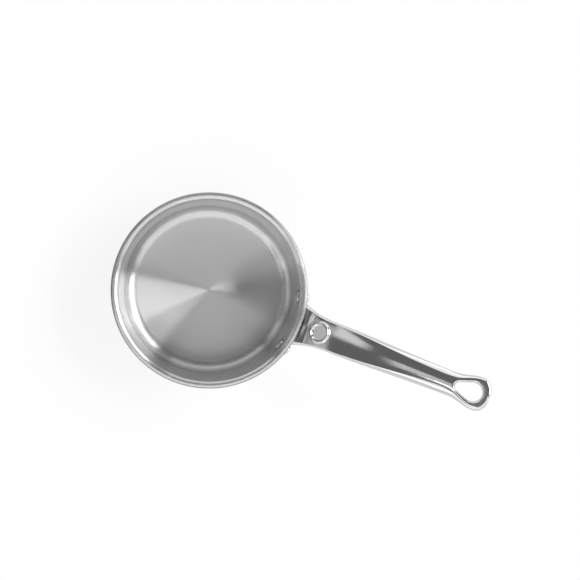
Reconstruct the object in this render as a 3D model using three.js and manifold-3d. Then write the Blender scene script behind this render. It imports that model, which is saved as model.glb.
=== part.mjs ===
// A straight-sided saucepan: a bowl of three-layer clad sheet with a flared pouring lip,
// and a one-piece cast handle held by two solid rivets. Millimetres, +Z up.
// The origin is the centre of the underside, and the handle runs along +X.
import * as THREE from "three";
import { mergeVertices } from "three/addons/utils/BufferGeometryUtils.js";
import Module from "manifold-3d";

const wasm = await Module();
wasm.setup();

// Bowl
const rimHeight = 68; // underside to the top of the lip
const wallInnerRadius = 76.4; // cooking side of the upright wall
const cornerRadius = 10.5; // cooking side, between floor and wall
const lipRadius = 4; // cooking side of the outward bend
const lipTurn = THREE.MathUtils.degToRad(96); // how far the lip bends out, from upright to just past level
const lipLand = 2.15; // straight part of the lip, from the bend to the cut edge
const linerThickness = 0.5;
const coreThickness = 1.5;
const skinThickness = 0.5;

// Rivets
const rivetDrop = 13.5; // rivet axes below the top of the lip
const rivetSpacing = 44.6; // between the two axes, across the inside of the wall
const shankDiameter = 6;
const innerHeadDiameter = 11.4;
const innerHeadRise = 2.2;
const outerHeadDiameter = 10;
const outerHeadRise = 2.8;
const headEdge = 0.7; // upright edge under each head's dome

// Clearances
const seatClearance = 0.3; // between a seated piece and what carries it
const holeClearance = 0.3; // round the shank, on the radius

// Mounting flange of the handle
const flangeThickness = 4.2;
const lobeRadius = 7.5; // round each rivet
const lobeTurn = THREE.MathUtils.degToRad(60); // each lobe's arc, below level
const flangeDrop = 20; // lowest point of the flange below the rivet axes
const apronEase = 4.5; // how gently the lower edge leaves the lobes

// Neck and grip of the handle
const handleReach = 161.1; // wall to the end of the loop, measured level
const handleRise = 61; // end of the loop above the lip, on the handle's centre line
const neckDrop = 25.65; // where the centre line meets the wall, below the lip
const neckSlope = THREE.MathUtils.degToRad(52);
const gripSlope = THREE.MathUtils.degToRad(19);
const neckPull = 54.5; // how far the centre line keeps each slope
const gripPull = 86;
const rootWidth = 47.3;
const neckWidth = 26.6;
const gripEndWidth = 20.4;
const flareLength = 45.5; // from the wall to the full neck
const rootThickness = 15;
const neckThickness = 9.6;
const gripThickness = 8.4;
const neckFullness = 0.55; // section's roundness: 1 is an ellipse, less is squarer
const loopFullness = 0.8;

// Hanging loop at the end of the handle
const loopWidth = 28;
const loopEnd = 11; // rounded end of the loop, along the handle
const loopBluntness = 2.3; // outline of the end: 2 is an ellipse, more is squarer
const loopThickness = 6.4;
const loopApproach = 31.5; // start of the widening, before the end of the loop
const eyeRadius = 7.4; // wide end of the eye
const eyeTaperRadius = 3.8; // narrow end of the eye
const eyeLength = 22; // along the handle
const tipBar = 7; // metal between the eye and the end of the loop

// Medallion on the neck
const medallionRadius = 10;
const medallionStart = 26.75; // its near edge from the start of the centre line
const medallionRise = 1; // ring above the metal at the medallion's middle
const medallionRoot = 5; // disc down into the neck, from the ring's top
const ringWidth = 1.6;
const ringDepth = 0.7; // ring down to the plain field inside it

// Facets
const roundSegments = 56;
const cornerSteps = 5;
const lipSteps = 6;
const rivetSegments = 24;
const medallionSegments = 48;
const domeSteps = 4;
const sectionSides = 24;
const flareSteps = 7;
const gripSteps = 12;
const loopSteps = 7;
const tipSteps = 6;
const outlineSteps = 10;
const weldDistance = 1e-4;

// Sizes that follow from those above
const sheetThickness = linerThickness + coreThickness + skinThickness;
const floorRadius = wallInnerRadius - cornerRadius;
const wallOuterRadius = wallInnerRadius + sheetThickness;
const lipCentre = new THREE.Vector2(wallInnerRadius + lipRadius, rimHeight - lipRadius);
const lipOutward = new THREE.Vector2(Math.sin(lipTurn), Math.cos(lipTurn));
const rivetHeight = rimHeight - rivetDrop;
const rivetAngle = Math.asin(rivetSpacing / 2 / wallInnerRadius);
const flangeInnerRadius = wallOuterRadius + seatClearance;
const flangeOuterRadius = flangeInnerRadius + flangeThickness;

const steel = (color, roughness) =>
  new THREE.MeshStandardMaterial({ color, roughness, metalness: 1 });
const brushedLiner = steel(0xc4c2be, 0.32);
const rolledAluminium = steel(0xd6d7d9, 0.4);
const satinSkin = steel(0xbfbebb, 0.3);
const polishedCasting = steel(0xc9c9ca, 0.15);

// A closed three.js geometry as a solid that can be joined and cut.
function solidOf(geometry) {
  const bare = geometry.clone();
  bare.deleteAttribute("normal");
  bare.deleteAttribute("uv");
  const merged = mergeVertices(bare, weldDistance);
  const corners = merged.index.array;
  const kept = [];
  for (let i = 0; i < corners.length; i += 3) {
    const [a, b, c] = [corners[i], corners[i + 1], corners[i + 2]];
    if (a !== b && b !== c && c !== a) kept.push(a, b, c);
  }
  return new wasm.Manifold(
    new wasm.Mesh({
      numProp: 3,
      vertProperties: merged.attributes.position.array,
      triVerts: new Uint32Array(kept),
    }),
  );
}

function meshOf(solid, name, material) {
  const { vertProperties, triVerts } = solid.getMesh();
  const geometry = new THREE.BufferGeometry();
  geometry.setAttribute("position", new THREE.BufferAttribute(vertProperties, 3));
  geometry.setIndex(new THREE.BufferAttribute(triVerts, 1));
  const mesh = new THREE.Mesh(geometry, material);
  mesh.name = name;
  return mesh;
}

// A profile of (radius, height) points turned round the Z axis.
function turned(profile, segments) {
  return new THREE.LatheGeometry(profile, segments).rotateX(Math.PI / 2);
}

// Bowl

// The line that a layer boundary follows, at a depth below the cooking surface, from the
// axis across the floor, round the corner, up the wall and out along the lip to its cut edge.
function sheetLine(depth) {
  const points = [new THREE.Vector2(0, sheetThickness - depth)];
  for (let i = 0; i <= cornerSteps; i++) {
    const turn = ((i / cornerSteps) * Math.PI) / 2;
    const radius = cornerRadius + depth;
    const r = floorRadius + radius * Math.sin(turn);
    const z = sheetThickness + cornerRadius - radius * Math.cos(turn);
    points.push(new THREE.Vector2(r, z));
  }
  for (let i = 0; i <= lipSteps; i++) {
    const turn = (i / lipSteps) * lipTurn;
    const radius = lipRadius - depth;
    const r = lipCentre.x - radius * Math.cos(turn);
    const z = lipCentre.y + radius * Math.sin(turn);
    points.push(new THREE.Vector2(r, z));
  }
  const bendEnd = points[points.length - 1];
  points.push(bendEnd.clone().addScaledVector(lipOutward, lipLand));
  return points;
}

// One layer of the clad sheet, between two depths.
function layer(top, bottom) {
  return solidOf(turned([...sheetLine(bottom), ...sheetLine(top).reverse()], roundSegments));
}

// All the space that the bowl takes up, with a clearance round it: the handle stays out of it.
function bowlSpace(clearance) {
  const outside = sheetLine(sheetThickness + clearance);
  const reach = outside[outside.length - 1].x + clearance;
  const top = rimHeight + clearance;
  const lid = [new THREE.Vector2(reach, top), new THREE.Vector2(0, top)];
  return solidOf(turned([...outside, ...lid], roundSegments));
}

// Rivets

// Lays a shape turned round +Z on a rivet's axis, with +Z pointing away from the bowl.
function onRivetAxis(geometry, side) {
  geometry.rotateY(Math.PI / 2);
  geometry.rotateZ(side * rivetAngle);
  return geometry.translate(0, 0, rivetHeight);
}

// What one rivet needs cut away: its hole, and room for the outer head on the flange.
function rivetRoom(side) {
  const hole = shankDiameter / 2 + holeClearance;
  const room = outerHeadDiameter / 2 + seatClearance;
  const far = 2 * flangeOuterRadius;
  const profile = [
    new THREE.Vector2(0, 0),
    new THREE.Vector2(hole, 0),
    new THREE.Vector2(hole, flangeOuterRadius),
    new THREE.Vector2(room, flangeOuterRadius),
    new THREE.Vector2(room, far),
    new THREE.Vector2(0, far),
  ];
  return solidOf(onRivetAxis(turned(profile, rivetSegments), side));
}

// A head from its seat to its crown, rising in the direction given by outward (1 or -1).
function head(diameter, rise, seat, outward) {
  const radius = diameter / 2;
  const points = [new THREE.Vector2(radius, seat)];
  for (let i = 0; i < domeSteps; i++) {
    const turn = ((i / domeSteps) * Math.PI) / 2;
    const height = headEdge + (rise - headEdge) * Math.sin(turn);
    points.push(new THREE.Vector2(radius * Math.cos(turn), seat + outward * height));
  }
  return [...points, new THREE.Vector2(0, seat + outward * rise)];
}

function rivet(side) {
  const innerSeat = Math.sqrt(wallInnerRadius ** 2 - (innerHeadDiameter / 2) ** 2) - seatClearance;
  const outerSeat = flangeOuterRadius + seatClearance;
  const shank = shankDiameter / 2;
  const profile = [
    ...head(innerHeadDiameter, innerHeadRise, innerSeat, -1).reverse(),
    new THREE.Vector2(shank, innerSeat),
    new THREE.Vector2(shank, outerSeat),
    ...head(outerHeadDiameter, outerHeadRise, outerSeat, 1),
  ];
  return solidOf(onRivetAxis(turned(profile, rivetSegments), side));
}

// Handle

const mix = THREE.MathUtils.lerp;
const blend = THREE.MathUtils.smoothstep;

const centreLine = (() => {
  const start = new THREE.Vector3(wallInnerRadius, 0, rimHeight - neckDrop);
  const end = new THREE.Vector3(wallInnerRadius + handleReach, 0, rimHeight + handleRise);
  const along = (slope, length) =>
    new THREE.Vector3(Math.cos(slope) * length, 0, Math.sin(slope) * length);
  return new THREE.CubicBezierCurve3(
    start,
    start.clone().add(along(neckSlope, neckPull)),
    end.clone().sub(along(gripSlope, gripPull)),
    end,
  );
})();
const handleLength = centreLine.getLength();
const loopStart = handleLength - loopApproach;
const loopCentre = handleLength - loopEnd;

// The frame of the handle at a distance along its centre line: X along it, Y across, Z up off it.
function handleFrame(distance) {
  const share = distance / handleLength;
  const along = centreLine.getTangentAt(share);
  const across = new THREE.Vector3(0, 1, 0);
  const up = new THREE.Vector3().crossVectors(along, across);
  const frame = new THREE.Matrix4().makeBasis(along, across, up);
  return frame.setPosition(centreLine.getPointAt(share));
}

function handleWidth(distance) {
  const flare = 1 - Math.min(distance / flareLength, 1);
  const neck = mix(neckWidth, rootWidth, flare ** 2);
  const grip = mix(neck, gripEndWidth, blend(distance, flareLength, loopStart));
  const loop = mix(grip, loopWidth, blend(distance, loopStart, loopCentre));
  const past = Math.max(distance - loopCentre, 0) / loopEnd;
  return loop * Math.max(1 - past ** loopBluntness, 0) ** (1 / loopBluntness);
}

function handleThickness(distance) {
  const neck = mix(rootThickness, neckThickness, blend(distance, 0, flareLength));
  const grip = mix(neck, gripThickness, blend(distance, flareLength, loopStart));
  return mix(grip, loopThickness, blend(distance, loopStart, loopCentre));
}

// A rounded section, squarer on the neck and fuller towards the loop.
function handleRing(distance) {
  const power = mix(neckFullness, loopFullness, blend(distance, 0, loopStart));
  const frame = handleFrame(distance);
  const soften = (value) => Math.sign(value) * Math.abs(value) ** power;
  return Array.from({ length: sectionSides }, (_, i) => {
    const angle = (2 * Math.PI * i) / sectionSides;
    const y = (handleWidth(distance) / 2) * soften(Math.cos(angle));
    const z = (handleThickness(distance) / 2) * soften(Math.sin(angle));
    return new THREE.Vector3(0, y, z).applyMatrix4(frame);
  });
}

// Distances of the rings along the centre line, closer together where the end rounds off.
function handleStations() {
  const evenly = (from, to, steps) =>
    Array.from({ length: steps }, (_, i) => mix(from, to, i / steps));
  const turns = evenly(0, Math.PI / 2, tipSteps);
  return [
    ...evenly(0, flareLength, flareSteps),
    ...evenly(flareLength, loopStart, gripSteps),
    ...evenly(loopStart, loopCentre, loopSteps),
    ...turns.map((turn) => loopCentre + loopEnd * Math.sin(turn)),
  ];
}

// A closed skin over a row of rings with equal numbers of points.
function loft(rings) {
  const sides = rings[0].length;
  const centre = (ring) =>
    ring.reduce((sum, p) => sum.add(p), new THREE.Vector3()).divideScalar(sides);
  const points = [...rings.flat(), centre(rings[0]), centre(rings[rings.length - 1])];
  const first = rings.length * sides;
  const last = first + 1;
  const lastRing = first - sides;
  const faces = [];
  for (let j = 0; j < sides; j++) {
    const next = (j + 1) % sides;
    for (let i = 0; i < lastRing; i += sides) {
      faces.push(i + j, i + next, i + sides + next);
      faces.push(i + j, i + sides + next, i + sides + j);
    }
    faces.push(first, next, j);
    faces.push(last, lastRing + j, lastRing + next);
  }
  return new THREE.BufferGeometry().setFromPoints(points).setIndex(faces);
}

// The flange's outline seen from the end of the handle: a lobe round each rivet, a level top
// edge between them, and a lower edge that runs down to the middle.
function flangeOutline() {
  const y = flangeOuterRadius * Math.sin(rivetAngle);
  const low = rivetHeight - flangeDrop;
  const lobeEndY = y + lobeRadius * Math.cos(lobeTurn);
  const lobeEndZ = rivetHeight - lobeRadius * Math.sin(lobeTurn);
  const shape = new THREE.Shape();
  shape.absarc(-y, rivetHeight, lobeRadius, Math.PI / 2, Math.PI + lobeTurn, false);
  shape.bezierCurveTo(-y, low + apronEase, -y / 2, low, 0, low);
  shape.bezierCurveTo(y / 2, low, y, low + apronEase, lobeEndY, lobeEndZ);
  shape.absarc(y, rivetHeight, lobeRadius, -lobeTurn, Math.PI / 2, false);
  return shape;
}

// A pad of even thickness, bent round the wall and trimmed to the outline.
function flange() {
  const section = [
    new THREE.Vector2(flangeInnerRadius, 0),
    new THREE.Vector2(flangeOuterRadius, 0),
    new THREE.Vector2(flangeOuterRadius, rimHeight),
    new THREE.Vector2(flangeInnerRadius, rimHeight),
    new THREE.Vector2(flangeInnerRadius, 0),
  ];
  const outline = new THREE.ExtrudeGeometry(flangeOutline(), {
    depth: 2 * flangeOuterRadius,
    bevelEnabled: false,
    curveSegments: outlineSteps,
  });
  const across = new THREE.Vector3(0, 1, 0);
  const upward = new THREE.Vector3(0, 0, 1);
  const outward = new THREE.Vector3(1, 0, 0);
  outline.applyMatrix4(new THREE.Matrix4().makeBasis(across, upward, outward));
  return solidOf(turned(section, roundSegments)).intersect(solidOf(outline));
}

// A plain disc with a raised ring, standing square to the neck.
function medallion() {
  const middle = medallionStart + medallionRadius;
  const ringTop = handleThickness(middle) / 2 + medallionRise;
  const root = ringTop - medallionRoot;
  const field = ringTop - ringDepth;
  const ringInside = medallionRadius - ringWidth;
  const profile = [
    new THREE.Vector2(0, root),
    new THREE.Vector2(medallionRadius, root),
    new THREE.Vector2(medallionRadius, ringTop),
    new THREE.Vector2(ringInside, ringTop),
    new THREE.Vector2(ringInside - ringDepth, field),
    new THREE.Vector2(0, field),
  ];
  return solidOf(turned(profile, medallionSegments).applyMatrix4(handleFrame(middle)));
}

// The pear-shaped eye of the loop: two circles and the straight sides that touch both.
function eye() {
  const spacing = eyeLength - eyeRadius - eyeTaperRadius;
  const touch = Math.acos((eyeRadius - eyeTaperRadius) / spacing);
  const shape = new THREE.Shape();
  shape.absarc(0, 0, eyeRadius, touch - Math.PI, Math.PI - touch, false);
  shape.absarc(-spacing, 0, eyeTaperRadius, Math.PI - touch, Math.PI + touch, false);
  const through = 2 * rootThickness;
  const cutter = new THREE.ExtrudeGeometry(shape, {
    depth: through,
    bevelEnabled: false,
    curveSegments: outlineSteps,
  });
  cutter.translate(0, 0, -through / 2);
  return solidOf(cutter.applyMatrix4(handleFrame(handleLength - tipBar - eyeRadius)));
}

function handle() {
  const bar = solidOf(loft(handleStations().map(handleRing)));
  return bar
    .add(medallion())
    .add(flange())
    .subtract(bowlSpace(seatClearance))
    .subtract(eye())
    .subtract(rivetRoom(1))
    .subtract(rivetRoom(-1));
}

// Assembly

const coreTop = linerThickness;
const skinTop = linerThickness + coreThickness;
const drilled = (solid) => solid.subtract(rivetRoom(1)).subtract(rivetRoom(-1));

const saucepan = new THREE.Group();
saucepan.add(
  meshOf(drilled(layer(0, coreTop)), "inner_liner", brushedLiner),
  meshOf(drilled(layer(coreTop, skinTop)), "aluminium_core", rolledAluminium),
  meshOf(drilled(layer(skinTop, sheetThickness)), "outer_skin", satinSkin),
  meshOf(handle(), "cast_handle", polishedCasting),
  meshOf(rivet(1), "rivet_left", steel(0xcbcbcb, 0.2)),
  meshOf(rivet(-1), "rivet_right", steel(0xcbcbcb, 0.2)),
);

export default saucepan;
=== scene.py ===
import math

import bpy
import numpy as np
from mathutils import Matrix, Vector


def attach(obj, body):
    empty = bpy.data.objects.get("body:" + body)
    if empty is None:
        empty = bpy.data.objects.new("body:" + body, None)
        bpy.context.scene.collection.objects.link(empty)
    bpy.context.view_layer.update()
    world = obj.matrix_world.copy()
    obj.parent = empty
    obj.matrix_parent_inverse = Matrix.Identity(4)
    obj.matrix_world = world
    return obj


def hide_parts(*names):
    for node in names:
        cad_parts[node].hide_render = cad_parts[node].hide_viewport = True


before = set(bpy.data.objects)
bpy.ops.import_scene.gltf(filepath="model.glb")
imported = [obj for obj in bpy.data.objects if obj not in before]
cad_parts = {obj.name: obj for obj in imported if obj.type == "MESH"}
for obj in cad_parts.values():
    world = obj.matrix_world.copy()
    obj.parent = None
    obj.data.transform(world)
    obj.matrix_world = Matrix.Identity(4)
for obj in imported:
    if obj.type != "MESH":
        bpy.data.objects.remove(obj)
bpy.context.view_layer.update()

# Sizes are in millimetres here, and the meshes in metres.


# Straight blend from a to b.
def mix(a, b, share):
    return a + (b - a) * share


# S-shaped step, 3x^2 - 2x^3: 0 up to low and 1 from high.
def smooth(x, low, high):
    share = np.clip((np.asarray(x, float) - low) / (high - low), 0, 1)
    return share * share * (3 - 2 * share)


# sRGB hex to the linear colour that shaders take: a straight line near black, a power above.
def linear(hexCode):
    channels = np.array([int(hexCode[i:i + 2], 16) for i in (1, 3, 5)]) / 255
    low, high = channels / 12.92, ((channels + 0.055) / 1.055) ** 2.4
    return (*np.where(channels <= 0.04045, low, high).tolist(), 1.0)


# Angles once round in even steps. The last is the first again, so that the seam closes.
def fullTurn(steps):
    angles = np.linspace(0, 2 * math.pi, steps + 1)
    angles[-1] = 0
    return angles


# Cubic curve from the first of four points to the last, pulled towards the two between.
def cubic(points, steps):
    t = np.linspace(0, 1, steps + 1)[:, None]
    weights = [(1 - t) ** 3, 3 * t * (1 - t) ** 2, 3 * t ** 2 * (1 - t), t ** 3]
    return sum(weight * point for weight, point in zip(weights, points))


# Points evenly spaced along a line of points.
def evenly(points, steps):
    lengths = np.concatenate([[0], np.cumsum(np.linalg.norm(np.diff(points, axis=0), axis=1))])
    at = np.linspace(0, lengths[-1], steps + 1)
    return np.stack([np.interp(at, lengths, points[:, k]) for k in range(2)], 1)


# Sheets are grids of points, rows by columns. Points that coincide become one vertex, so
# seams and poles close, and the shell is turned to face outward by the sign of its volume.
def shell(sheets):
    points = np.concatenate([sheet.reshape(-1, 3) for sheet in sheets])
    quads, first = [], 0
    for sheet in sheets:
        ids = first + np.arange(sheet.shape[0] * sheet.shape[1]).reshape(sheet.shape[:2])
        corners = [ids[:-1, :-1], ids[:-1, 1:], ids[1:, 1:], ids[1:, :-1]]
        quads.append(np.stack(corners, -1).reshape(-1, 4))
        first += ids.size
    _, kept, weld = np.unique(np.round(points, 3), axis=0, return_index=True, return_inverse=True)
    points, quads = points[kept], weld.reshape(-1)[np.concatenate(quads)]
    repeats = quads == np.roll(quads, -1, axis=1)
    sides = 4 - repeats.sum(1)
    three = sides == 3
    triangles = quads[three][~repeats[three]].reshape(-1, 3)
    quads = quads[sides == 4]
    split = np.concatenate([quads[:, [0, 1, 2]], quads[:, [0, 2, 3]], triangles])
    a, b, c = (points[split[:, k]] for k in range(3))
    if np.einsum("ij,ij->", a, np.cross(b, c)) < 0:
        quads, triangles = quads[:, ::-1], triangles[:, ::-1]
    return points, quads, triangles


# One object of the assembly: its shells, the CAD node it stands for, its slot and its finish.
def addPiece(name, node, shells, material):
    points, faces, first = [], [], 0
    for shellPoints, quads, triangles in shells:
        points.append(shellPoints)
        faces += (quads + first).tolist() + (triangles + first).tolist()
        first += len(shellPoints)
    mesh = bpy.data.meshes.new(name)
    mesh.from_pydata((np.concatenate(points) / 1000).tolist(), [], faces)
    mesh.shade_smooth()
    mesh.materials.append(material)
    piece = bpy.data.objects.new(name, mesh)
    bpy.context.collection.objects.link(piece)
    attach(piece, "root")
    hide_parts(node)
    print(f"{name}: {len(mesh.vertices)} vertices, {len(mesh.polygons)} faces")
    return piece


# Adds one node: its settings by attribute, its inputs by socket name or number, where a
# socket of another node is linked and a plain value is set.
def addNode(tree, kind, inputs=None, **settings):
    node = tree.nodes.new(kind)
    for key, value in settings.items():
        setattr(node, key, value)
    for key, value in (inputs or {}).items():
        if isinstance(value, bpy.types.NodeSocket):
            tree.links.new(value, node.inputs[key])
        else:
            node.inputs[key].default_value = value
    return node


# A metal: a colour, and a roughness and a bump that vary with noise of a real size. Where it
# is brushed, the strokes run round the pan's axis: the tangent is the axis crossed with the
# place, and the noise is read along the turn and across the strokes, at radius plus height.
grainNoise = dict(detail=3.0, roughness=0.6, low=0.25, high=0.75)
brushTurn = 0.25  # a quarter turn lays the stretched highlight across the strokes


def metal(name, spec):
    material = bpy.data.materials.new(name)
    material.use_nodes = True
    tree = material.node_tree
    tree.nodes.clear()
    place = addNode(tree, "ShaderNodeTexCoord").outputs["Object"]
    inputs = {"Base Color": linear(spec["colour"]), "Metallic": 1.0}
    roughness = spec["roughness"]
    grainSize = spec["grain"] / 1000
    if "anisotropy" in spec:
        around = addNode(
            tree, "ShaderNodeVectorMath", {0: (0, 0, 1), 1: place}, operation="CROSS_PRODUCT")
        stroke = addNode(
            tree, "ShaderNodeVectorMath", {0: around.outputs[0]}, operation="NORMALIZE").outputs[0]
        inputs |= {
            "Anisotropic": spec["anisotropy"], "Anisotropic Rotation": brushTurn, "Tangent": stroke}
        flat = addNode(
            tree, "ShaderNodeVectorMath", {0: place, 1: (1, 1, 0)}, operation="MULTIPLY")
        radius = addNode(
            tree, "ShaderNodeVectorMath", {0: flat.outputs[0]}, operation="LENGTH").outputs["Value"]
        height = addNode(tree, "ShaderNodeSeparateXYZ", {0: place}).outputs["Z"]
        across = addNode(tree, "ShaderNodeMath", {0: radius, 1: height}, operation="ADD")
        lane = addNode(tree, "ShaderNodeCombineXYZ", {"Z": across.outputs[0]})
        if "wallRoughness" in spec:
            roughness = addNode(tree, "ShaderNodeMapRange", {
                "Value": radius,
                "From Min": spec["wallFrom"] / 1000, "From Max": spec["wallTo"] / 1000,
                "To Min": spec["roughness"], "To Max": spec["wallRoughness"],
            }, interpolation_type="SMOOTHSTEP").outputs["Result"]
        spread = (spec["strokeSpread"] / 1000,) * 3
        swept = addNode(tree, "ShaderNodeVectorMath", {0: stroke, 1: spread}, operation="MULTIPLY")
        place = addNode(tree, "ShaderNodeVectorMath", {
            0: swept.outputs[0], 1: lane.outputs[0]}, operation="ADD").outputs[0]
    grain = addNode(tree, "ShaderNodeTexNoise", {
        "Vector": place, "Scale": 1 / grainSize,
        "Detail": grainNoise["detail"], "Roughness": grainNoise["roughness"],
    }).outputs["Fac"]
    change = addNode(tree, "ShaderNodeMapRange", {
        "Value": grain, "From Min": grainNoise["low"], "From Max": grainNoise["high"],
        "To Min": -spec["uneven"], "To Max": spec["uneven"],
    })
    uneven = addNode(tree, "ShaderNodeMath", {0: change.outputs["Result"], 1: roughness})
    bump = addNode(tree, "ShaderNodeBump", {
        "Height": grain, "Strength": spec["bump"], "Distance": grainSize})
    inputs |= {"Roughness": uneven.outputs[0], "Normal": bump.outputs["Normal"]}
    surface = addNode(tree, "ShaderNodeBsdfPrincipled", inputs)
    addNode(tree, "ShaderNodeOutputMaterial", {"Surface": surface.outputs[0]})
    return material


# Bowl: three layers of sheet, bonded face to face.
bowl = dict(
    rimHeight=68.0, wallRadius=76.4, cornerRadius=10.5,
    lipRadius=4.0, lipTurn=math.radians(96), lipLand=2.15,
    liner=0.5, core=1.5, skin=0.5,
    edge=1.1,  # how far the cut edge rounds off
    floorSteps=14, cornerSteps=16, wallSteps=13, lipSteps=18, landSteps=4, edgeSteps=6, turnSteps=192,
)
sheetThickness = bowl["liner"] + bowl["core"] + bowl["skin"]
skinTop = bowl["liner"] + bowl["core"]
floorRadius = bowl["wallRadius"] - bowl["cornerRadius"]
lipCentre = (
    bowl["wallRadius"] + bowl["lipRadius"],
    bowl["rimHeight"] - bowl["lipRadius"],
)


# Points of the line at a depth below the cooking surface: level from the axis over the floor,
# a quarter circle round the corner, straight up the wall, a circle out over the lip and
# straight on along its land. The steel stops short of the cut edge, where the softer core
# rounds off as half an ellipse.
def sheetLine(depth):
    off = min(abs(2 * depth - sheetThickness) / bowl["core"], 1)
    setback = bowl["edge"] * (1 - math.sqrt(1 - off ** 2))
    corner = np.linspace(0, math.pi / 2, bowl["cornerSteps"] + 1)
    lip = np.linspace(0, bowl["lipTurn"], bowl["lipSteps"] + 1)
    outer, inner = bowl["cornerRadius"] + depth, bowl["lipRadius"] - depth
    reach = np.linspace(0, floorRadius, bowl["floorSteps"] + 1)[:-1]
    floor = np.stack([reach, np.full_like(reach, sheetThickness - depth)], 1)
    rise = sheetThickness + bowl["cornerRadius"]
    bend = np.stack([floorRadius + outer * np.sin(corner), rise - outer * np.cos(corner)], 1)
    heights = np.linspace(rise, lipCentre[1], bowl["wallSteps"] + 1)[1:-1]
    wall = np.stack([np.full_like(heights, bowl["wallRadius"] + depth), heights], 1)
    roll = np.stack([lipCentre[0] - inner * np.cos(lip), lipCentre[1] + inner * np.sin(lip)], 1)
    outward = np.array([math.sin(bowl["lipTurn"]), math.cos(bowl["lipTurn"])])
    along = np.linspace(0, bowl["lipLand"] - setback, bowl["landSteps"] + 1)[1:]
    return np.concatenate([floor, bend, wall, roll, roll[-1] + along[:, None] * outward])


# One layer between two depths: its upper line, its edge and its lower line, turned round the axis.
def layer(top, bottom):
    depths = np.linspace(top, bottom, bowl["edgeSteps"] + 1)[1:-1]
    edge = np.array([sheetLine(depth)[-1] for depth in depths])
    profile = np.concatenate([sheetLine(top), edge, sheetLine(bottom)[::-1]])
    turn = fullTurn(bowl["turnSteps"])
    radius, height = profile[:, :1], profile[:, 1:]
    return shell([np.stack([radius * np.cos(turn), radius * np.sin(turn), height + 0 * turn], -1)])


# Steel turned under a brush: the circles stretch the light into a fan over the floor, and the
# wall and lip are a little glossier. Real strokes are about 0.1 mm wide and too fine to show,
# so they are drawn about ten times as coarse, inside and out.
linerSteel = metal("stainless steel, turned with a brush", dict(
    colour="#cdcdcd", roughness=0.34, anisotropy=1.0,
    wallRoughness=0.25, wallFrom=floorRadius - 1.9, wallTo=floorRadius + 1.6,
    grain=1.1, strokeSpread=4.0, uneven=0.03, bump=0.015))
# Bare rolled aluminium: a dull, darker line along the cut edge of the lip.
coreMetal = metal("aluminium, rolled and cut", dict(
    colour="#8b8c8f", roughness=0.45, grain=0.8, uneven=0.05, bump=0.05))
# Satin steel: soft, level streaks round the wall that mirror nothing clearly.
skinSteel = metal("stainless steel, satin brushed outside", dict(
    colour="#cbcac7", roughness=0.3, anisotropy=0.7,
    grain=0.9, strokeSpread=4.0, uneven=0.06, bump=0.05))

addPiece("innerLiner", "inner_liner", [layer(0, bowl["liner"])], linerSteel)
addPiece("aluminiumCore", "aluminium_core", [layer(bowl["liner"], skinTop)], coreMetal)
addPiece("outerSkin", "outer_skin", [layer(skinTop, sheetThickness)], skinSteel)

# Rivets through the wall and the flange of the handle
rivet = dict(
    drop=13.5, spacing=44.6, shank=6.0, gap=0.25, edge=0.6,
    innerHead=11.4, innerRise=2.2, outerHead=10.0, outerRise=2.8,
    domeSteps=12, turnSteps=48,
)
flange = dict(
    gap=0.3, thickness=4.2, lobeRadius=7.5, lobeTurn=math.radians(60), drop=20.0, ease=4.5, edge=1.2,
    middleDrop=4.0,  # the point that its outline is swept from, below the rivets
    topSteps=20, curveSteps=40, outlineSteps=180, edgeSteps=6, faceSteps=8,
)
rivetHeight = bowl["rimHeight"] - rivet["drop"]
rivetAngle = math.asin(rivet["spacing"] / 2 / bowl["wallRadius"])
flangeInner = bowl["wallRadius"] + sheetThickness + flange["gap"]
flangeOuter = flangeInner + flange["thickness"]


# A profile turned round the rivet's axis, from the crown of the inner head to that of the
# outer one: each head is half an ellipse on a short upright edge. It is laid on the curve of
# wall and flange: at a distance across, radius R lies sqrt(R^2 - across^2) from the axis.
def rivetShell(side):
    dome = np.linspace(0, math.pi / 2, rivet["domeSteps"] + 1)
    shank = rivet["shank"] / 2

    def head(diameter, rise):  # crown to seat: distance from the rivet's axis, height
        across = np.append(diameter / 2 * np.sin(dome), diameter / 2)
        return across, np.append(rivet["edge"] + (rise - rivet["edge"]) * np.cos(dome), 0)

    innerAcross, innerHeight = head(rivet["innerHead"], rivet["innerRise"])
    outerAcross, outerHeight = head(rivet["outerHead"], rivet["outerRise"])
    across = np.concatenate([innerAcross, [shank, shank], outerAcross[::-1]])
    base = np.where(np.arange(len(across)) <= len(innerAcross), bowl["wallRadius"], flangeOuter)
    out = np.concatenate([-innerHeight - rivet["gap"], [-rivet["gap"], 0], outerHeight[::-1]])
    angle = fullTurn(rivet["turnSteps"])
    y = across[:, None] * np.cos(angle)
    x = np.sqrt(base[:, None] ** 2 - y ** 2) + out[:, None]
    z = across[:, None] * np.sin(angle) + rivetHeight
    c, s = math.cos(side * rivetAngle), math.sin(side * rivetAngle)
    return shell([np.stack([c * x - s * y, s * x + c * y, z], -1)])


# Polished steel pressed to a dome: small, sharp lights and dark edges.
rivetSteel = metal("stainless steel, upset and polished", dict(
    colour="#cdcdcc", roughness=0.07, grain=4.0, uneven=0.02, bump=0.01))

addPiece("rivetLeft", "rivet_left", [rivetShell(1)], rivetSteel)
addPiece("rivetRight", "rivet_right", [rivetShell(-1)], rivetSteel)

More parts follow.
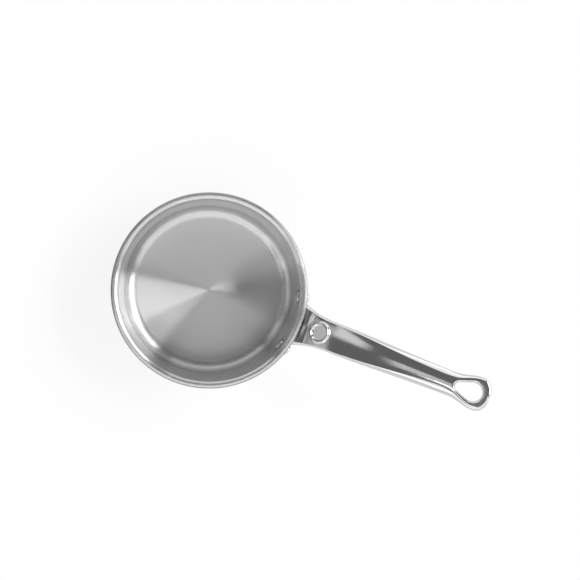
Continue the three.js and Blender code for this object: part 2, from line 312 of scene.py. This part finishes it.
# Handle: one casting of flange, neck with a medallion, grip and hanging loop
handle = dict(
    reach=161.1, rise=61.0, neckDrop=25.65,  # ends of the centre line, from the wall and the rim
    neckSlope=math.radians(52), gripSlope=math.radians(19), neckPull=54.5, gripPull=86.0,
    rootWidth=47.3, neckWidth=26.6, gripEndWidth=20.4, flareLength=45.5,
    rootThickness=15.0, neckThickness=9.6, gripThickness=8.4,
    loopWidth=28.0, loopEnd=11.0, loopBluntness=2.3, loopThickness=6.4, loopApproach=31.5, loopBlend=10.0,
    eyeRadius=7.4, eyeTaperRadius=3.8, eyeLength=22.0, eyeRounding=2.0, tipBar=7.0, barRounding=3.5,
    neckBevel=1.4, gripBevel=6.0, neckSharpness=1.35, gripSharpness=1.9, neckCrown=0.22, gripCrown=0.6,
    creaseAt=23.85, creaseLength=0.35, ledgeRise=0.5,
    rootInside=14.0, rootSeat=1.5,  # start before the wall, and depth of the root in the flange
    lineSteps=2000, outlineSteps=600,
    gripRows=150, rowCrowding=1.35, loopSteps=109, acrossSteps=32, rootRows=60,
)
medallion = dict(
    radius=10.0, start=26.75, rise=2.0, ringDepth=1.9, ringFlank=1.5, ringCrest=0.6, crestRise=0.2,
    discEdge=0.1, sink=3.0,  # rim of the disc, and how deep the foot sits in the neck
    flankSteps=4, crestSteps=8, discSteps=5, turnSteps=96,
)
lineStart = np.array([bowl["wallRadius"], bowl["rimHeight"] - handle["neckDrop"]])
lineEnd = np.array([bowl["wallRadius"] + handle["reach"], bowl["rimHeight"] + handle["rise"]])
neckDirection = np.array([math.cos(handle["neckSlope"]), math.sin(handle["neckSlope"])])
gripDirection = np.array([math.cos(handle["gripSlope"]), math.sin(handle["gripSlope"])])

# Centre line in the XZ plane: a cubic curve that leaves the wall steeply and ends at the
# loop, measured by its length.
linePoints = cubic([
    lineStart, lineStart + handle["neckPull"] * neckDirection,
    lineEnd - handle["gripPull"] * gripDirection, lineEnd,
], handle["lineSteps"])
lineLengths = np.concatenate([[0], np.cumsum(np.linalg.norm(np.diff(linePoints, axis=0), axis=1))])
lineSlopes = np.unwrap(np.arctan2(*np.gradient(linePoints, axis=0).T[::-1]))
handleLength = lineLengths[-1]
loopRadius = handle["loopWidth"] / 2
loopStart = handleLength - handle["loopApproach"]
loopCentre = handleLength - handle["loopEnd"]
eyeCentre = handleLength - handle["tipBar"] - handle["eyeRadius"]
eyeSpacing = handle["eyeLength"] - handle["eyeRadius"] - handle["eyeTaperRadius"]
eyeNear = eyeCentre - eyeSpacing - handle["eyeTaperRadius"]
medallionMiddle = medallion["start"] + medallion["radius"]


# Point at a distance along the centre line, an offset across it and a height off it. Before
# its start the line runs straight on.
def onHandle(distance, across, height):
    before = np.minimum(distance, 0)
    slope = np.interp(distance, lineLengths, lineSlopes)
    x = np.interp(distance, lineLengths, linePoints[:, 0]) + before * neckDirection[0]
    z = np.interp(distance, lineLengths, linePoints[:, 1]) + before * neckDirection[1]
    return np.stack([x - height * np.sin(slope), across + 0 * x, z + height * np.cos(slope)], -1)


# Share of the way from neck to grip end, an S along the handle.
def alongGrip(distance):
    return smooth(distance, handle["flareLength"], loopStart)


# Half the width: a parabola from root to neck, then S-shaped steps to the grip end and the loop.
def halfWidth(distance):
    d = np.clip(distance, 0, loopCentre)
    flare = (1 - np.minimum(d / handle["flareLength"], 1)) ** 2
    grip = mix(mix(handle["neckWidth"], handle["rootWidth"], flare), handle["gripEndWidth"], alongGrip(d))
    return mix(grip, handle["loopWidth"], smooth(d, loopStart, loopCentre)) / 2


# Half the thickness: S-shaped steps from root to neck, to grip and to loop.
def halfThickness(distance):
    toNeck = smooth(distance, 0, handle["flareLength"])
    neck = mix(handle["rootThickness"], handle["neckThickness"], toNeck)
    grip = mix(neck, handle["gripThickness"], alongGrip(distance))
    return mix(grip, handle["loopThickness"], smooth(distance, loopStart, loopCentre)) / 2


# Height of the upper face: even under the medallion, and from a crease, softened over a
# short length, rising off the centre line towards the flange, so that it lies nearly level.
def faceHeight(distance):
    before = (handle["creaseAt"] - distance) / handle["creaseLength"]
    back = handle["creaseLength"] * np.logaddexp(0, before)
    return np.minimum(halfThickness(distance), halfThickness(medallionMiddle)) + handle["ledgeRise"] * back


# Outline of half the handle in plan, from the near end of the eye to the tip: its sides, and
# a blunt ellipse of power n, |x|^n + |y|^n = 1, round the end.
def loopOutline():
    sides = np.linspace(eyeNear, loopCentre, handle["outlineSteps"])[:-1]
    turn = np.linspace(0, math.pi / 2, handle["outlineSteps"])
    power = 2 / handle["loopBluntness"]
    tip = np.stack([
        loopCentre + handle["loopEnd"] * np.sin(turn) ** power, loopRadius * np.cos(turn) ** power], 1)
    tip[-1, 1] = 0
    return np.concatenate([np.stack([sides, halfWidth(sides)], 1), tip])


# Outline of half the eye: two circles and the straight line that touches both.
def eyeOutline():
    touch = math.pi - math.acos((handle["eyeRadius"] - handle["eyeTaperRadius"]) / eyeSpacing)
    small = np.linspace(math.pi, touch, handle["outlineSteps"])
    large = np.linspace(touch, 0, handle["outlineSteps"])
    taper = handle["eyeTaperRadius"] * np.stack([np.cos(small), np.sin(small)], 1)
    wide = handle["eyeRadius"] * np.stack([np.cos(large), np.sin(large)], 1)
    taper[0, 1], wide[-1, 1] = 0, 0
    return np.concatenate([taper + [eyeCentre - eyeSpacing, 0], wide + [eyeCentre, 0]])


# Distance to the eye's edge, from outside it: the hull of its two circles.
def eyeDistance(distance, across):
    x, y = distance - eyeCentre, np.abs(across)
    lean = (handle["eyeRadius"] - handle["eyeTaperRadius"]) / eyeSpacing
    upright = math.sqrt(1 - lean ** 2)
    along = x * upright + y * lean
    sideways = y * upright - x * lean - handle["eyeRadius"]
    large = np.hypot(x, y) - handle["eyeRadius"]
    small = np.hypot(x + eyeSpacing, y) - handle["eyeTaperRadius"]
    return np.where(along > 0, large, np.where(along < -eyeSpacing * upright, small, sideways))


# Height of an edge that rises from 0 to 1 over a width: (1 - (1 - x)^n)^(1/n), a chamfer
# for n near 1 and a quarter circle for 2.
def edgeRise(inset, width, power):
    left = 1 - np.clip(inset / width, 0, 1)
    return np.maximum(1 - left ** power, 0) ** (1 / power)


# Half the handle in plan: rows across, from the middle or the eye to the outer edge. They
# stand closer towards the eye, and closer across towards both edges.
def handlePlan():
    rows = 1 - (1 - np.linspace(0, 1, handle["gripRows"])) ** handle["rowCrowding"]
    grip = mix(-handle["rootInside"], eyeNear, rows)
    middle = np.stack([grip, 0 * grip], 1)
    edge = np.stack([grip, halfWidth(grip)], 1)
    inner = np.concatenate([middle, evenly(eyeOutline(), handle["loopSteps"])[1:]])
    outer = np.concatenate([edge, evenly(loopOutline(), handle["loopSteps"])[1:]])
    columns = (1 - np.cos(np.linspace(0, math.pi, handle["acrossSteps"] + 1))) / 2
    return inner[:, None] + (outer - inner)[:, None] * columns[None, :, None]


# Upper or lower side of the handle over its plan. The upper face is bevelled and falls off
# from its middle with the square of the offset, the lower one is a round belly, and both
# round off into the bar of the loop.
def handleSide(plan, top):
    distance, across = plan[..., 0], plan[..., 1]
    width = halfWidth(distance)
    past = np.maximum(distance - loopCentre, 0) / handle["loopEnd"]
    power = handle["loopBluntness"]
    rounded = (past ** power + (across / loopRadius) ** power) ** (1 / power)
    inset = np.where(past > 0, loopRadius * (1 - rounded), width - across)
    inset[:, -1] = 0
    toLoop = smooth(distance, loopStart - handle["loopBlend"], loopCentre)
    if top:
        bevel = mix(handle["neckBevel"], handle["gripBevel"], alongGrip(distance))
        sharpness = mix(handle["neckSharpness"], handle["gripSharpness"], alongGrip(distance))
        crown = mix(handle["neckCrown"], handle["gripCrown"], alongGrip(distance)) * (1 - toLoop)
        face = faceHeight(distance) * (1 - crown * np.minimum(across / width, 1) ** 2)
    else:
        bevel, sharpness, face = width, 2, -halfThickness(distance)
    rim = np.maximum(eyeDistance(distance, across), 0)
    rim[handle["gripRows"] - 1:, 0] = 0
    edges = edgeRise(inset, mix(bevel, handle["barRounding"], toLoop), sharpness)
    return onHandle(distance, across, face * edges * edgeRise(rim, handle["eyeRounding"], 2))


# The neck starts on a cylinder inside the flange: each line along it is cut where it
# crosses that cylinder, and its first rows are spread out again from there.
def cutToFlange(sheet):
    keep = handle["rootRows"]
    seat = flangeInner + handle["rootSeat"]
    radius = np.hypot(sheet[:keep, :, 0], sheet[:keep, :, 1])
    cut = np.array([np.interp(seat, line, np.arange(keep)) for line in radius.T])
    fresh = mix(cut, keep, np.linspace(0, 1, keep + 1)[:, None])
    lower = np.floor(fresh).astype(int)
    part = (fresh - lower)[..., None]
    columns = np.arange(sheet.shape[1])[None]
    sheet[:keep + 1] = mix(sheet[lower, columns], sheet[np.minimum(lower + 1, keep), columns], part)
    return sheet


mirror = np.array([1, -1, 1])
plan = handlePlan()
upper, lower = cutToFlange(handleSide(plan, True)), cutToFlange(handleSide(plan, False))
cap = np.stack([upper[0], lower[0]])
barShell = shell([
    upper, lower[:, ::-1], (upper * mirror)[:, ::-1], lower * mirror,
    cap[::-1], (cap * mirror)[::-1, ::-1],
])


# Outline of the flange in (across, up): a straight top, an arc round each rivet and a cubic
# curve down to the middle, and the same again mirrored.
def flangeOutline():
    y = flangeOuter * math.sin(rivetAngle)
    low = rivetHeight - flange["drop"]
    lobe = np.linspace(math.pi / 2, -flange["lobeTurn"], flange["curveSteps"] + 1)
    arc = [y, rivetHeight] + flange["lobeRadius"] * np.stack([np.cos(lobe), np.sin(lobe)], 1)
    ends = [arc[-1], np.array([y, low + flange["ease"]]), np.array([y / 2, low]), np.array([0, low])]
    across = np.linspace(0, y, flange["topSteps"] + 1)[:-1]
    topEdge = np.stack([across, np.full_like(across, rivetHeight + flange["lobeRadius"])], 1)
    half = np.concatenate([topEdge, arc, cubic(ends, flange["curveSteps"])[1:]])
    return np.concatenate([half, (half * [-1, 1])[::-1][1:]])


# The outline swept from a middle point out over the inner face, round an edge with a quarter
# circle and back over the outer face, bent round the wall: x is sqrt(radius^2 - across^2).
def flangeShell():
    outline = evenly(flangeOutline(), flange["outlineSteps"])
    outline[-1] = outline[0]
    middle = np.array([0, rivetHeight - flange["middleDrop"]])
    reach = np.linalg.norm(outline - middle, axis=1)
    turn = np.linspace(math.pi / 2, 0, flange["edgeSteps"] + 1)
    spread = np.linspace(0, 1, flange["faceSteps"] + 1)[:, None]
    edge = 1 - flange["edge"] * (1 - np.sin(turn))[:, None] / reach
    scale = np.concatenate([spread + 0 * reach, edge, spread[-2::-1] * edge[-1]])
    radius = np.concatenate([
        np.full(flange["faceSteps"] + 1, flangeInner),
        flangeOuter - flange["edge"] * (1 - np.cos(turn)),
        np.full(flange["faceSteps"], flangeOuter),
    ])
    yz = middle + (outline - middle) * scale[..., None]
    x = np.sqrt(radius[:, None] ** 2 - yz[..., 0] ** 2)
    return shell([np.stack([x, yz[..., 0], yz[..., 1]], -1)])


# Medallion: a plain disc inside a ring with two sloping flanks and a crest that rises as a
# sine, a profile turned round the normal of the neck.
def medallionShell():
    top = faceHeight(medallionMiddle) + medallion["rise"]
    foot = top - medallion["ringDepth"]
    shoulder = top - medallion["crestRise"]
    turn = np.linspace(0, math.pi, medallion["crestSteps"] + 1)
    crest = medallion["radius"] - medallion["ringFlank"] - medallion["ringCrest"] * (1 - np.cos(turn)) / 2
    down = np.linspace(0, 1, medallion["flankSteps"] + 1)
    outer = mix(medallion["radius"], crest[0], down)[:-1]
    inner = (crest[-1] - medallion["ringFlank"] * down)[1:]
    disc = np.linspace(inner[-1] - medallion["discEdge"], 0, medallion["discSteps"] + 1)
    radii = np.concatenate([[0, medallion["radius"]], outer, crest, inner, disc])
    sunk = foot - medallion["sink"]
    heights = np.concatenate([
        [sunk, sunk], mix(foot, shoulder, down)[:-1], shoulder + medallion["crestRise"] * np.sin(turn),
        mix(shoulder, foot, down)[1:], np.full_like(disc, foot),
    ])
    angle = fullTurn(medallion["turnSteps"])
    slope = np.interp(medallionMiddle, lineLengths, lineSlopes)
    centre = onHandle(np.array(medallionMiddle), np.array(0.0), np.array(0.0))
    out = np.array([math.cos(slope), 0, math.sin(slope)])
    across = np.array([0, 1.0, 0])
    normal = np.array([-math.sin(slope), 0, math.cos(slope)])
    ring = np.cos(angle)[:, None] * out + np.sin(angle)[:, None] * across
    return shell([centre + radii[:, None, None] * ring + heights[:, None, None] * normal])


# Polished casting: clear mirror images of the studio, a little wavy as cast faces are.
castSteel = metal("stainless steel, cast and polished", dict(
    colour="#cfcfd0", roughness=0.1, grain=12.0, uneven=0.02, bump=0.006))

addPiece("castHandle", "cast_handle", [barShell, flangeShell(), medallionShell()], castSteel)

# Camera: nearly above the mouth, turned so that the handle points right and down.
camera = dict(
    roll=math.radians(21.25), eye=(-15.4, 10.3, 738.0), aim=(67.3, 0.44, 68.0), lens=49.13, sensor=36.0,
    near=0.01, far=20.0,  # metres
)
right = Vector((math.cos(camera["roll"]), math.sin(camera["roll"]), 0))
up = Vector((-math.sin(camera["roll"]), math.cos(camera["roll"]), 0))


# Place in metres, from distances along the picture's own right and up and a height.
def inView(across, upward, height):
    return (right * across + up * upward + Vector((0, 0, height))) / 1000


eye, aim = inView(*camera["eye"]), inView(*camera["aim"])
back = (eye - aim).normalized()
side = up.cross(back).normalized()
lens = bpy.data.cameras.new("camera")
lens.lens, lens.sensor_width = camera["lens"], camera["sensor"]
lens.clip_start, lens.clip_end = camera["near"], camera["far"]
cameraObject = bpy.data.objects.new("camera", lens)
cameraObject.matrix_world = Matrix((side, back.cross(side), back)).transposed().to_4x4()
cameraObject.location = eye
bpy.context.collection.objects.link(cameraObject)
bpy.context.scene.camera = cameraObject
print("camera placed")

# Floor: a sheet of matt paper under the pan, even and without gloss. The camera and the metal
# see it mostly as plain white, and the rest of it takes the pan's shadow.
paper = dict(halfSize=4.0, colour="#f4f4f4", white="#ffffff", whiteShare=0.8)  # size in metres
reach = paper["halfSize"]
corners = [(-reach, -reach, 0), (reach, -reach, 0), (reach, reach, 0), (-reach, reach, 0)]
floorMesh = bpy.data.meshes.new("floor")
floorMesh.from_pydata(corners, [], [(0, 1, 2, 3)])
floorObject = bpy.data.objects.new("floor", floorMesh)
bpy.context.collection.objects.link(floorObject)
floorPaper = bpy.data.materials.new("matt white paper")
floorPaper.use_nodes = True
tree = floorPaper.node_tree
tree.nodes.clear()
rays = addNode(tree, "ShaderNodeLightPath").outputs
seen = rays["Is Camera Ray"]
for kind in ("Is Glossy Ray", "Is Transmission Ray"):
    seen = addNode(tree, "ShaderNodeMath", {0: seen, 1: rays[kind]}, operation="MAXIMUM").outputs[0]
amount = addNode(tree, "ShaderNodeMath", {0: seen, 1: paper["whiteShare"]}, operation="MULTIPLY")
matt = addNode(tree, "ShaderNodeBsdfDiffuse", {"Color": linear(paper["colour"])})
white = addNode(tree, "ShaderNodeEmission", {"Color": linear(paper["white"]), "Strength": 1.0})
both = addNode(
    tree, "ShaderNodeMixShader", {0: amount.outputs[0], 1: matt.outputs[0], 2: white.outputs[0]})
addNode(tree, "ShaderNodeOutputMaterial", {"Surface": both.outputs[0]})
floorMesh.materials.append(floorPaper)
print("floor laid")

# Studio: a world that is dark overhead and white round the horizon like a paper cove, with
# windows of light. Turns are counted round the picture from its right, tilts from straight
# up, both in degrees with half widths, and every edge fades over a few degrees. The key and
# its core light the fan on the floor, front and back the bands of the corner, spot and glow
# the patches on the grip, and the flag darkens the cove where the neck mirrors it. The camera
# sees plain white instead, and the metal mirrors the windows.
studio = dict(dark=0.17, cove=1.0, coveFrom=66, coveTo=78, white="#ffffff")
windows = dict(
    key=dict(turn=18, turnHalf=28, tilt=47, tiltHalf=9, edge=5, light=3.4),
    keyCore=dict(turn=6, turnHalf=18, tilt=43, tiltHalf=5, edge=5, light=9.5),
    keyLow=dict(turn=30, turnHalf=15, tilt=62, tiltHalf=8, edge=6, light=2.6),
    front=dict(turn=280, turnHalf=62, tilt=38, tiltHalf=22, edge=10, light=0.9),
    frontLow=dict(turn=243, turnHalf=46, tilt=62, tiltHalf=8, edge=5, light=1.3),
    frontRight=dict(turn=308, turnHalf=20, tilt=62, tiltHalf=8, edge=5, light=0.9),
    overhead=dict(turn=285, turnHalf=55, tilt=12, tiltHalf=6.5, edge=5, light=1.6),
    overheadLeft=dict(turn=208, turnHalf=15, tilt=22, tiltHalf=4, edge=5, light=2.8),
    back=dict(turn=96, turnHalf=36, tilt=66, tiltHalf=13, edge=5, light=1.1),
    side=dict(turn=176, turnHalf=30, tilt=67, tiltHalf=6.5, edge=4, light=0.55),
    far=dict(turn=8, turnHalf=40, tilt=78, tiltHalf=10, edge=6, light=1.6),
    flag=dict(turn=165, turnHalf=34, tilt=82, tiltHalf=13, edge=6, light=-0.55),
    spot=dict(turn=148, turnHalf=8, tilt=49, tiltHalf=10, edge=7, light=0.75),
    glow=dict(turn=172, turnHalf=16, tilt=24, tiltHalf=6, edge=6, light=0.6),
)
world = bpy.data.worlds.new("studio")
bpy.context.scene.world = world
world.use_nodes = True
tree = world.node_tree
tree.nodes.clear()
looking = addNode(tree, "ShaderNodeTexCoord").outputs["Generated"]
turned = addNode(tree, "ShaderNodeVectorRotate", {
    "Vector": looking, "Angle": -camera["roll"]}, rotation_type="Z_AXIS")
axes = addNode(tree, "ShaderNodeSeparateXYZ", {0: turned.outputs[0]}).outputs
angles = dict(
    turn=addNode(tree, "ShaderNodeMath", {0: axes["Y"], 1: axes["X"]}, operation="ARCTAN2").outputs[0],
    tilt=addNode(tree, "ShaderNodeMath", {0: axes["Z"]}, operation="ARCCOSINE").outputs[0],
)
total = addNode(tree, "ShaderNodeMapRange", {
    "Value": angles["tilt"],
    "From Min": math.radians(studio["coveFrom"]), "From Max": math.radians(studio["coveTo"]),
    "To Min": studio["dark"], "To Max": studio["cove"],
}, interpolation_type="SMOOTHSTEP").outputs["Result"]
for window in windows.values():
    light = window["light"]
    for key, angle in angles.items():
        half, fade = window[key + "Half"], window["edge"] / 2
        off = addNode(tree, "ShaderNodeMath", {0: angle, 1: math.radians(window[key])}, operation="SUBTRACT")
        near = addNode(
            tree, "ShaderNodeMath", {0: off.outputs[0], 1: math.pi, 2: -math.pi}, operation="WRAP")
        size = addNode(tree, "ShaderNodeMath", {0: near.outputs[0]}, operation="ABSOLUTE")
        inside = addNode(tree, "ShaderNodeMapRange", {
            "Value": size.outputs[0],
            "From Min": math.radians(half + fade), "From Max": math.radians(half - fade),
        }, interpolation_type="SMOOTHSTEP").outputs["Result"]
        light = addNode(tree, "ShaderNodeMath", {0: inside, 1: light}, operation="MULTIPLY").outputs[0]
    total = addNode(tree, "ShaderNodeMath", {0: total, 1: light}).outputs[0]
white = linear(studio["white"])
sky = addNode(tree, "ShaderNodeBackground", {"Color": white, "Strength": total})
backdrop = addNode(tree, "ShaderNodeBackground", {"Color": white, "Strength": 1.0})
looked = addNode(tree, "ShaderNodeLightPath").outputs["Is Camera Ray"]
both = addNode(tree, "ShaderNodeMixShader", {0: looked, 1: sky.outputs[0], 2: backdrop.outputs[0]})
addNode(tree, "ShaderNodeOutputWorld", {"Surface": both.outputs[0]})
print("studio lit")

bpy.context.scene.view_settings.view_transform = "Standard"
